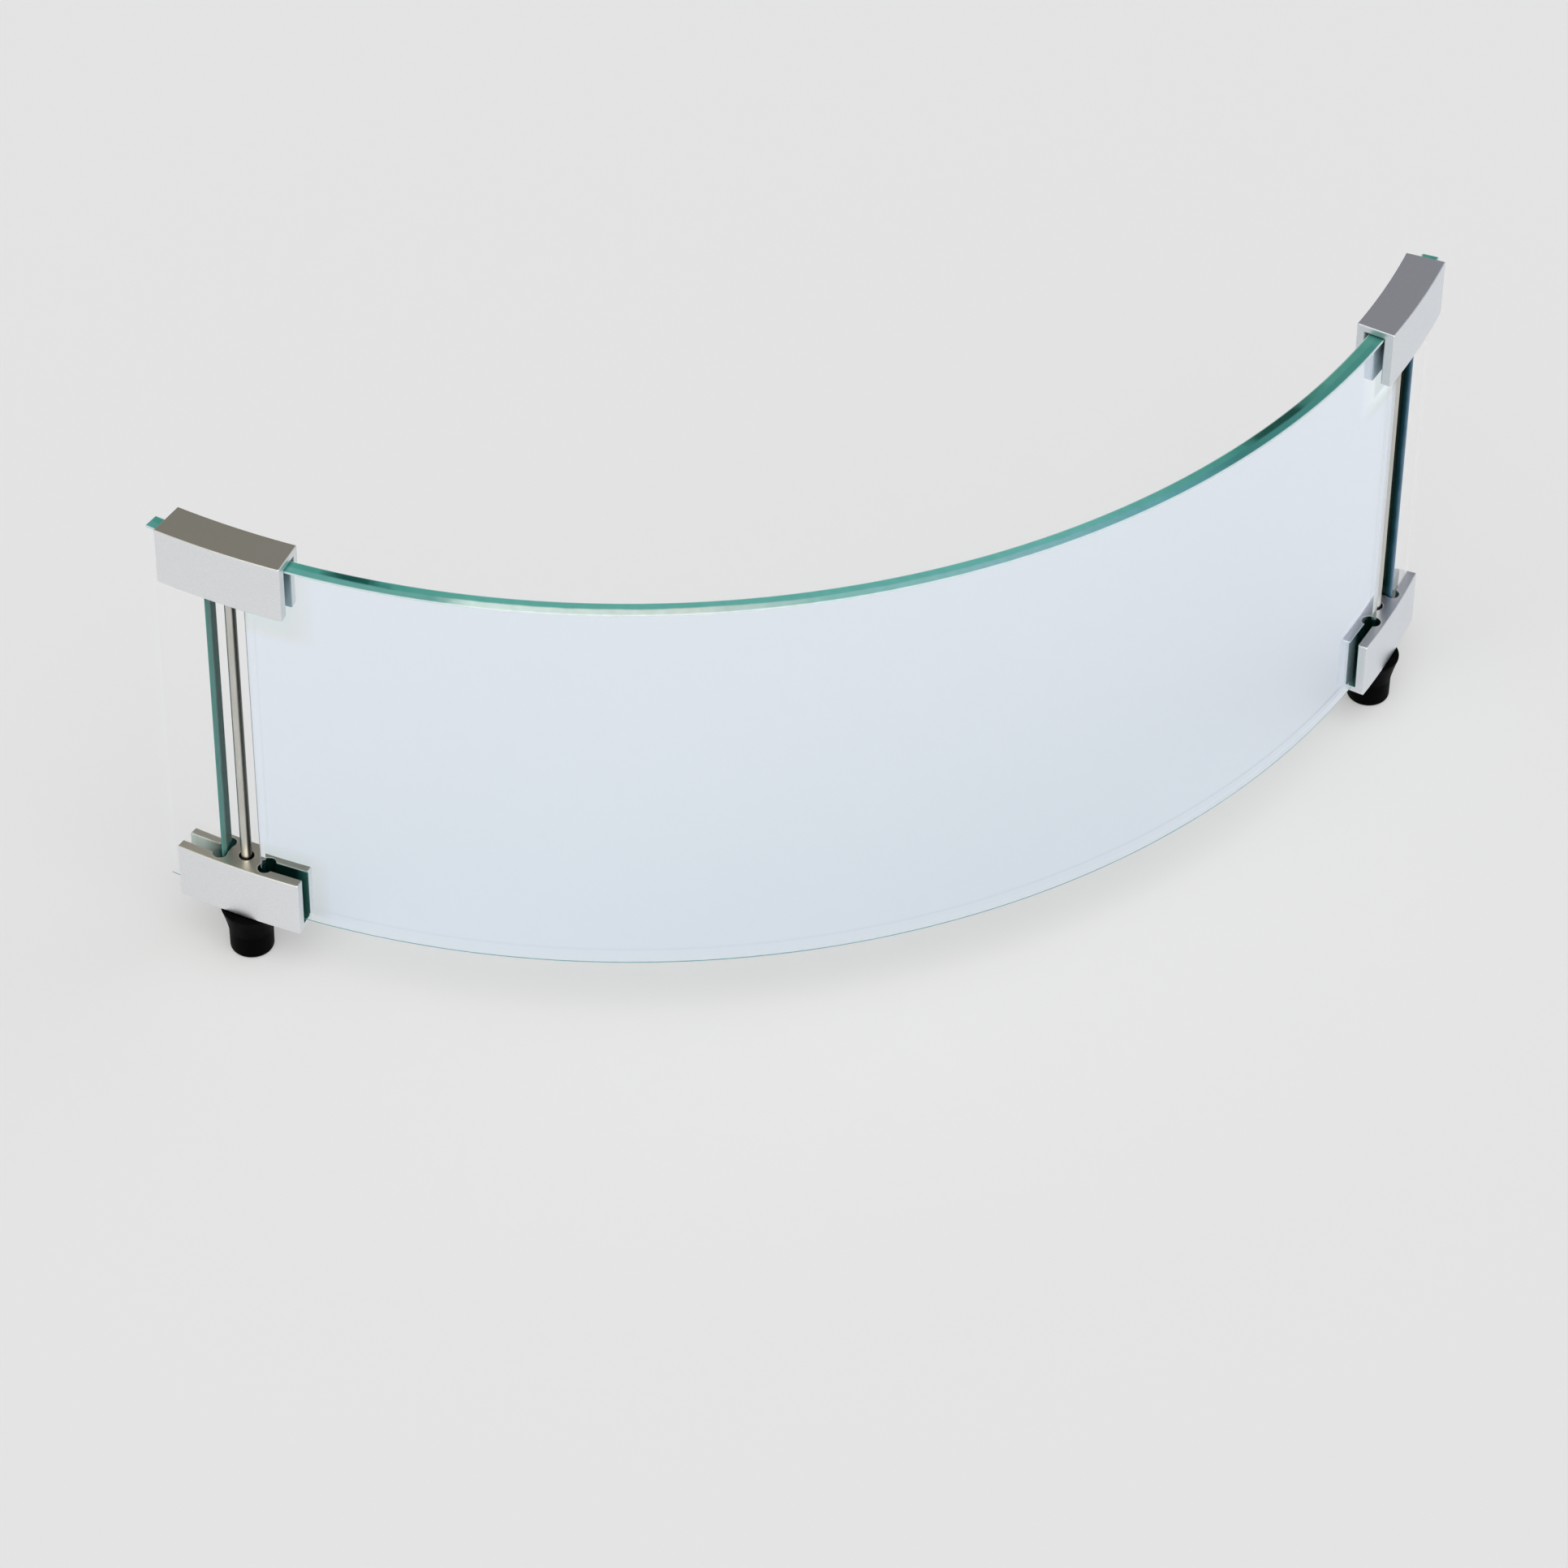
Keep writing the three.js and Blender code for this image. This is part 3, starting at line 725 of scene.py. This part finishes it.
aluminium = aluminium_material()
slot_aluminium = slot_material()
steel = steel_material()
rubber = rubber_material()
pad_rubber = pad_material()
brass = brass_material()
glass_face = glass_face_material()
strip_face = strip_face_material()
top_rim = top_rim_material()
bottom_rim = clear_rim_material("lower_rim", BOTTOM_LINE, [(0.0, 0.0), (0.78, 0.0), (0.86, 1.0)], False)
see_through = see_through_material()
panel_left_rim = clear_rim_material(
    "panel_left_rim", END_GREY, [(0.0, 0.03), (0.5, 0.10), (0.84, 0.26), (0.93, 0.75)]
)
panel_right_rim = clear_rim_material("panel_right_rim", END_BEIGE, [(0.0, 0.3), (0.5, 0.45), (1.0, 0.6)])
left_rim = rim_material(
    "left_strip_rim",
    [(0.0, END_BLUE), (0.12, END_DARK_TEAL), (0.50, END_DARK_TEAL), (0.68, END_LIGHT_TEAL)],
)
right_rim = rim_material(
    "right_strip_rim",
    [(0.0, END_BLACK_GREEN), (0.60, END_BLACK_GREEN), (0.80, END_BLUE), (1.0, END_SKY)],
    streak=0.02,
)


# ---------------------------------------------------------------- glass
def node_angles(node):
    """The angles, seen from the ring's centre, between which a node lies."""
    points = [v.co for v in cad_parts[node].data.vertices]
    angles = [math.atan2(p.x, RING_Y - p.y) for p in points]
    return min(angles), max(angles)


def glass_piece(name, node, face, rims):
    """face is the material of both sides, and rims those of the top, bottom, start and end edges."""
    low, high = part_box(node)
    start, end = node_angles(node)
    radii = (GLASS_INNER_RADIUS, GLASS_OUTER_RADIUS)
    piece = block_piece(name, *radii, start, end, low.z, high.z, GLASS_ARRIS, [face, *rims])
    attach(piece, "guard_frame")
    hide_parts(node)


def make_glass():
    """The panel, and the ends of its two neighbours."""
    panel_rims = (top_rim, bottom_rim, panel_left_rim, panel_right_rim)
    left_rims = (top_rim, bottom_rim, see_through, left_rim)
    right_rims = (top_rim, bottom_rim, right_rim, see_through)
    glass_piece("curved_glass_panel", "main_glass_panel", glass_face, panel_rims)
    glass_piece("left_glass_stub", "left_glass_strip", strip_face, left_rims)
    glass_piece("right_glass_stub", "right_glass_strip", strip_face, right_rims)


def make_pads():
    """The setting pads between the glass's edges and the slots' floors."""
    for side in SIDES:
        for level in ("bottom", "top"):
            for holder in ("strip", "panel"):
                node = f"{side}_{level}_{holder}_pad"
                low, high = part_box(node)
                start, end = node_angles(node)
                name = f"{side}_{level}_{holder}_setting_pad"
                radii = (GLASS_INNER_RADIUS, GLASS_OUTER_RADIUS)
                heights = (low.z, high.z)
                piece = block_piece(name, *radii, start, end, *heights, PAD_EDGE, [pad_rubber], FINE_STEP)
                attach(piece, "guard_frame")
                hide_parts(node)


# ---------------------------------------------------------------- brackets
ROUND_STEPS = 4


def flare(depth):
    """How far an edge is broken back at a depth below it: a quarter circle of radius EDGE_BREAK."""
    if depth >= EDGE_BREAK:
        return 0.0
    return EDGE_BREAK - math.sqrt(EDGE_BREAK**2 - (EDGE_BREAK - depth) ** 2)


def edge_depths():
    """Depths below an edge that make its quarter circle even."""
    return [EDGE_BREAK * (1 - math.cos(math.radians(90 * n / ROUND_STEPS))) for n in range(ROUND_STEPS + 1)]


def slot_cutter(side, centre_angle, low, high):
    """The tool for one slot, wider towards the rim and the bracket's end, so that it leaves broken edges."""
    start = SLOT_END_OFFSET
    end = BRACKET_HALF_ANGLE * SLOT_MIDDLE_RADIUS
    stations = [(start, 0.0), (start + SUPPORT, 0.0)]
    stations += [(end - depth, flare(depth)) for depth in reversed(edge_depths())]
    stations += [(end + CUT_MARGIN, EDGE_BREAK)]
    sections = []
    for place, wider in stations:
        half = SLOT_WIDTH / 2 + wider
        floor = low + SLOT_FLOOR - wider
        bend = (half - SLOT_FLOOR_ROUND, floor + SLOT_FLOOR_ROUND)
        wall = arc(bend, SLOT_FLOOR_ROUND, -90, 0, ROUND_STEPS)
        wall += [(half + flare(depth), high - depth) for depth in reversed(edge_depths())]
        wall += [(half + EDGE_BREAK, high + CUT_MARGIN)]
        outline = wall + [(-across, up) for across, up in reversed(wall)]
        angle = centre_angle + side * place / SLOT_MIDDLE_RADIUS
        sections.append([ring_point(SLOT_MIDDLE_RADIUS + across, angle, up) for across, up in outline])
    return cutter(skin(sections))


def cutter(bm):
    """A cutting tool, whose faces leave the slot's material, with its painted shade, in the piece."""
    for face in bm.faces:
        face.material_index = 1
    return finish_mesh("cutter", bm, [aluminium, slot_aluminium])


def hole_cutter(radius, angle, outwards, bottom, high, through_low=None):
    """The tool for a round hole with a broken edge at the rim, and at through_low if it goes through."""
    profile = [(0, bottom)]
    if through_low is None:
        profile += [(radius, bottom)]
    else:
        profile += [(radius + EDGE_BREAK, bottom)]
        profile += [(radius + flare(depth), through_low + depth) for depth in edge_depths()]
    profile += [(radius + flare(depth), high - depth) for depth in reversed(edge_depths())]
    profile += [(radius + EDGE_BREAK, high + CUT_MARGIN), (0, high + CUT_MARGIN)]
    centre = ring_point(SLOT_MIDDLE_RADIUS + outwards, angle, 0)
    return cutter(lathe(profile, centre, 56))


def bracket(side, level):
    """A bracket is made with its slots upwards, and turned over if it is a top one."""
    low, high = (corner.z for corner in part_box(f"{side}_{level}_bracket"))
    centre_angle = SIDES[side] * HALF_SPACING
    start, end = centre_angle - BRACKET_HALF_ANGLE, centre_angle + BRACKET_HALF_ANGLE
    name = f"{side}_{level}_clamp_bracket"
    radii = (BRACKET_INNER_RADIUS, BRACKET_OUTER_RADIUS)
    piece = block_piece(name, *radii, start, end, low, high, EDGE_BREAK, [aluminium], FINE_STEP)
    piece.data.materials.append(slot_aluminium)
    relief = RELIEF_OFFSET_ALONG / SLOT_MIDDLE_RADIUS
    for way in (-1, 1):
        boolean(piece, slot_cutter(way, centre_angle, low, high), "DIFFERENCE")
        for outwards in (-RELIEF_OFFSET_ACROSS, RELIEF_OFFSET_ACROSS):
            angle = centre_angle + way * relief
            tool = hole_cutter(RELIEF_RADIUS, angle, outwards, low + SLOT_FLOOR, high)
            boolean(piece, tool, "DIFFERENCE")
    if level == "bottom":
        hole_low = low - CUT_MARGIN
        rod_hole = hole_cutter(ROD_CLEARANCE_RADIUS, centre_angle, 0, hole_low, high, through_low=low)
    else:
        hole_low = high - ROD_DEPTH_IN_TOP_BRACKET
        rod_hole = hole_cutter(ROD_BLIND_RADIUS, centre_angle, 0, hole_low, high)
    boolean(piece, rod_hole, "DIFFERENCE")
    if level == "top":
        turn_over(piece, low, high)
    smooth(piece, 30)
    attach(piece, "guard_frame")
    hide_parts(f"{side}_{level}_bracket")


def turn_over(piece, low, high):
    """Mirrors a piece's mesh between two heights. The bracket is the same both ways along the ring."""
    piece.data.transform(Matrix.Translation((0, 0, low + high)) @ Matrix.Scale(-1, 4, (0, 0, 1)))
    piece.data.flip_normals()


# ---------------------------------------------------------------- rods, nuts, washers and feet
def threaded(start, end, pitch=THREAD_PITCH, depth=THREAD_DEPTH):
    """A wobble that cuts a right-hand thread between two heights, running out at both ends."""

    def wobble(radius, z, turn):
        if not start < z < end:
            return radius
        phase = (z / pitch - turn) % 1
        cut = abs(2 * phase - 1)
        run_out = min(1, (end - z) / pitch, (z - start) / pitch)
        return radius - depth * run_out * (1 - cut)

    return wobble


def fine_rows(low, high, step):
    """Evenly spaced heights, at most step apart."""
    count = max(1, math.ceil((high - low) / step))
    return [low + (high - low) * n / count for n in range(count + 1)]


def tie_rod(side):
    """A plain rod with a real thread from its foot into the bottom bracket."""
    node = f"{side}_tie_rod"
    low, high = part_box(node)
    radius = (high.x - low.x) / 2
    thread_low, plain_high = low.z + ROD_CHAMFER, high.z - ROD_CHAMFER
    thread_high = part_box(f"{side}_bottom_bracket")[0].z + THREAD_INTO_BRACKET
    profile = [(0, low.z), (radius - ROD_CHAMFER, low.z), (radius, thread_low)]
    profile += [(radius, z) for z in fine_rows(thread_low, thread_high, THREAD_PITCH / 8)[1:]]
    profile += [(radius, thread_high + SUPPORT), (radius, plain_high - SUPPORT), (radius, plain_high)]
    profile += [(radius - ROD_CHAMFER, high.z), (0, high.z)]
    bm = lathe(profile, axis_of(node), 48, threaded(thread_low, thread_high))
    piece = finish_mesh(f"{side}_threaded_tie_rod", bm, [steel], 50)
    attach(piece, "guard_frame")
    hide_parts(node)


def rod_washer(side):
    """A flat washer with all four edges rounded."""
    node = f"{side}_rod_washer"
    low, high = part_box(node)
    outer, inner = (high.x - low.x) / 2 - WASHER_EDGE, WASHER_BORE_RADIUS + WASHER_EDGE
    below, above = low.z + WASHER_EDGE, high.z - WASHER_EDGE
    bends = [((outer, above), 90), ((outer, below), 0), ((inner, below), 270), ((inner, above), 180)]
    outline = []
    for bend, start in bends:
        outline += arc(bend, WASHER_EDGE, start, start - 90, 3)
    bm = turned_ring(outline, axis_of(node), 56)
    piece = finish_mesh(f"{side}_plain_washer", bm, [steel], 40)
    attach(piece, "guard_frame")
    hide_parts(node)


def turned_ring(outline, centre, segments):
    """A closed outline of (radius, z) points turned about the upright axis through centre."""
    bm = bmesh.new()
    rings = []
    for step in range(segments):
        across, along = math.cos(math.tau * step / segments), math.sin(math.tau * step / segments)
        rings.append([bm.verts.new(centre + Vector((r * across, r * along, z))) for r, z in outline])
    for step, ring in enumerate(rings):
        following = rings[(step + 1) % segments]
        for point in range(len(outline)):
            after = (point + 1) % len(outline)
            bm.faces.new((ring[point], following[point], following[after], ring[after]))
    return bm


def rod_nut(side):
    """A hexagon nut with both faces chamfered, made as a prism kept inside a turned double cone."""
    node = f"{side}_rod_nut"
    low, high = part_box(node)
    corner_radius = (high.x - low.x) / 2
    centre = axis_of(node)
    turn_to_ring = SIDES[side] * HALF_SPACING
    prism = []
    for z in (low.z, high.z):
        corners = [turn_to_ring + math.radians(60 * n) for n in range(6)]
        reach = NUT_ACROSS_FLATS / 2 / math.cos(math.radians(30))
        prism.append([centre + Vector((reach * math.cos(a), reach * math.sin(a), z)) for a in corners])
    piece = finish_mesh(f"{side}_hexagon_nut", skin(prism), [steel])
    flat, wide = corner_radius - NUT_CONE_WIDTH * 2 / 3, corner_radius + NUT_CONE_WIDTH / 3
    cone = [(0, low.z), (flat, low.z), (wide, low.z + NUT_CONE_HEIGHT)]
    cone += [(wide, high.z - NUT_CONE_HEIGHT), (flat, high.z), (0, high.z)]
    boolean(piece, finish_mesh("cutter", lathe(cone, centre, 72), [steel]), "INTERSECT")
    below, above = low.z - CUT_MARGIN, high.z + CUT_MARGIN
    mouth = NUT_BORE_RADIUS + NUT_BORE_CHAMFER + CUT_MARGIN
    hole = [(0, below), (mouth, below), (NUT_BORE_RADIUS, low.z + NUT_BORE_CHAMFER)]
    hole += [(NUT_BORE_RADIUS, high.z - NUT_BORE_CHAMFER), (mouth, above), (0, above)]
    boolean(piece, finish_mesh("cutter", lathe(hole, centre, 48), [steel]), "DIFFERENCE")
    smooth(piece, 25)
    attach(piece, "guard_frame")
    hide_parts(node)


def foot_insert(side):
    """A knurled brass bush with a flange."""
    node = f"{side}_foot_insert"
    low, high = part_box(node)
    flange = (high.x - low.x) / 2
    body = flange - INSERT_FLANGE_WIDTH
    bore, edge = INSERT_BORE_RADIUS, INSERT_EDGE
    flange_low = high.z - INSERT_FLANGE_THICKNESS
    knurl_low, knurl_high = low.z + KNURL_MARGIN, flange_low - KNURL_MARGIN
    outline = [(bore + edge, low.z), (body - edge, low.z), (body, low.z + edge)]
    outline += [(body, z) for z in fine_rows(knurl_low, knurl_high, KNURL_STEP)]
    outline += [(body, flange_low), (flange - edge, flange_low), (flange, flange_low + edge)]
    outline += [(flange, high.z - edge), (flange - edge, high.z), (bore + edge, high.z)]
    outline += [(bore, high.z - edge), (bore, low.z + edge)]
    bm = turned_ring(outline, axis_of(node), 120)
    piece = finish_mesh(f"{side}_brass_insert", bm, [brass], 35)
    knurl(piece, axis_of(node), body, knurl_low, knurl_high)
    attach(piece, f"{side}_insert_body")
    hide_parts(node)


def knurl(piece, centre, radius, low, high):
    """Presses a diamond pattern into the outside of a bush, between two heights."""
    for vertex in piece.data.vertices:
        offset = vertex.co - centre
        across = math.hypot(offset.x, offset.y)
        if abs(across - radius) > 1e-6 or not low < offset.z < high:
            continue
        turn = math.atan2(offset.y, offset.x) / math.tau * KNURL_TEETH
        rise = offset.z / KNURL_RISE
        ridges = abs(math.sin(math.pi * (turn + rise))) * abs(math.sin(math.pi * (turn - rise)))
        scale = (radius - KNURL_DEPTH * (1 - ridges)) / radius
        vertex.co.x = centre.x + offset.x * scale
        vertex.co.y = centre.y + offset.y * scale


def rubber_foot(side):
    """A moulded foot: dished underneath, rounded at the floor, straight, then flared to a thin lip."""
    node = f"{side}_foot"
    low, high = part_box(node)
    lip_radius = (high.x - low.x) / 2
    body = lip_radius - FOOT_FLARE_WIDTH
    pocket, hole = FOOT_POCKET_RADIUS, FOOT_INSERT_HOLE_RADIUS
    insert_low, insert_high = (corner.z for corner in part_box(f"{side}_foot_insert"))
    hole_end = insert_low - INSERT_PLAY
    flange_seat = insert_high - INSERT_FLANGE_THICKNESS - INSERT_PLAY
    dish_top = low.z + FOOT_DISH_DEPTH
    profile = [(0, dish_top), (FOOT_DISH_RADIUS, dish_top), (FOOT_DISH_RADIUS + FOOT_DISH_SLOPE, low.z)]
    profile += arc((body - FOOT_EDGE, low.z + FOOT_EDGE), FOOT_EDGE, -90, 0, 8)
    flare_low = high.z - FOOT_LIP - FOOT_FLARE_HEIGHT
    steps = 14
    for step in range(1, steps + 1):
        along = step / steps
        radius = body + FOOT_FLARE_WIDTH * along**FOOT_FLARE_CURVE
        profile.append((radius, flare_low + FOOT_FLARE_HEIGHT * along))
    lip_bend = high.z - FOOT_LIP_ROUND
    profile += arc((lip_radius - FOOT_LIP_ROUND, lip_bend), FOOT_LIP_ROUND, 0, 90, 4)
    profile += arc((pocket + FOOT_LIP_ROUND, lip_bend), FOOT_LIP_ROUND, 90, 180, 4)
    profile += [(pocket, flange_seat), (hole, flange_seat), (hole, hole_end), (0, hole_end)]
    piece = finish_mesh(f"{side}_rubber_foot", lathe(profile, axis_of(node), 96), [rubber], 40)
    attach(piece, f"{side}_foot_body")
    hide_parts(node)


make_glass()
make_pads()
for side_name in SIDES:
    bracket(side_name, "bottom")
    bracket(side_name, "top")
    tie_rod(side_name)
    rod_washer(side_name)
    rod_nut(side_name)
    foot_insert(side_name)
    rubber_foot(side_name)


# ---------------------------------------------------------------- floor, lights and camera
def make_floor():
    """A wide floor that looks even and pale."""
    material, nodes, output = new_material("pale_floor")
    mottle = nodes.noise(0.5, detail=2.0)
    shader = nodes.add("ShaderNodeBsdfPrincipled", Roughness=0.9, Specular_IOR_Level=0.0)
    nodes.put(shader, "Base Color", nodes.mix(mottle, grey(0.438), grey(0.442)))
    nodes.put(shader, "Emission Color", grey(1.0))
    nodes.put(shader, "Emission Strength", FLOOR_GLOW)
    nodes.put(output, "Surface", shader.outputs[0])
    bpy.ops.mesh.primitive_circle_add(vertices=96, radius=40, fill_type="NGON", location=(0, 0, 0))
    floor = bpy.context.object
    floor.name = "floor"
    floor.data.materials.append(material)


def make_world():
    """A dome that looks pale to the camera and lights softly, dimmer behind the object and above it."""
    world = bpy.data.worlds.new("studio")
    bpy.context.scene.world = world
    world.use_nodes = True
    nodes = Nodes(world.node_tree)
    output = nodes.add("ShaderNodeOutputWorld")
    direction = nodes.add("ShaderNodeTexCoord").outputs["Generated"]
    parts = nodes.add("ShaderNodeSeparateXYZ", Vector=direction)
    strength = nodes.remap(parts.outputs["Y"], -0.6, 0.5, 1.0, 0.22)
    sideways = nodes.remap(parts.outputs["X"], -0.7, 0.7, 0, 1)
    colour = nodes.mix(sideways, (1.0, 0.97, 0.90), (0.93, 0.96, 1.0))
    glow = nodes.add("ShaderNodeBackground", Color=colour, Strength=strength)
    backdrop = nodes.add("ShaderNodeBackground", Color=grey(0.776), Strength=1.0)
    seen = nodes.add("ShaderNodeLightPath").outputs["Is Camera Ray"]
    nodes.put(output, "Surface", nodes.blend(seen, glow, backdrop).outputs[0])


def add_sun(name, energy, azimuth, elevation, spread, colour=(1, 1, 1)):
    """A wide sun. Its azimuth is 0 where it shines from -Y, and grows towards +X."""
    light = bpy.data.lights.new(name, "SUN")
    light.energy = energy
    light.angle = math.radians(spread)
    light.color = colour
    lamp = bpy.data.objects.new(name, light)
    lamp.rotation_euler = Euler((math.radians(90 - elevation), 0, math.radians(azimuth)))
    bpy.context.scene.collection.objects.link(lamp)


def make_camera():
    """A long lens, outside the ring and above it."""
    data = bpy.data.cameras.new("camera")
    data.lens = CAMERA_LENS
    data.sensor_width = 36
    data.clip_start, data.clip_end = 0.1, 200
    camera = bpy.data.objects.new("camera", data)
    glass_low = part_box("main_glass_panel")[0].z
    camera.location = ring_point(CAMERA_DISTANCE, -CAMERA_OFF_AXIS, glass_low + CAMERA_HEIGHT)
    upright = Matrix.Rotation(-CAMERA_HEADING, 4, "Z") @ Matrix.Rotation(math.pi / 2 - CAMERA_TILT, 4, "X")
    camera.rotation_euler = (upright @ Matrix.Rotation(CAMERA_ROLL, 4, "Z")).to_euler()
    bpy.context.scene.collection.objects.link(camera)
    bpy.context.scene.camera = camera


make_floor()
make_world()
add_sun("key", 1.4, -25, 62, 50)
add_sun("fill", 0.5, 70, 50, 60, (0.95, 0.97, 1.0))
make_camera()
bpy.context.scene.view_settings.view_transform = "Standard"
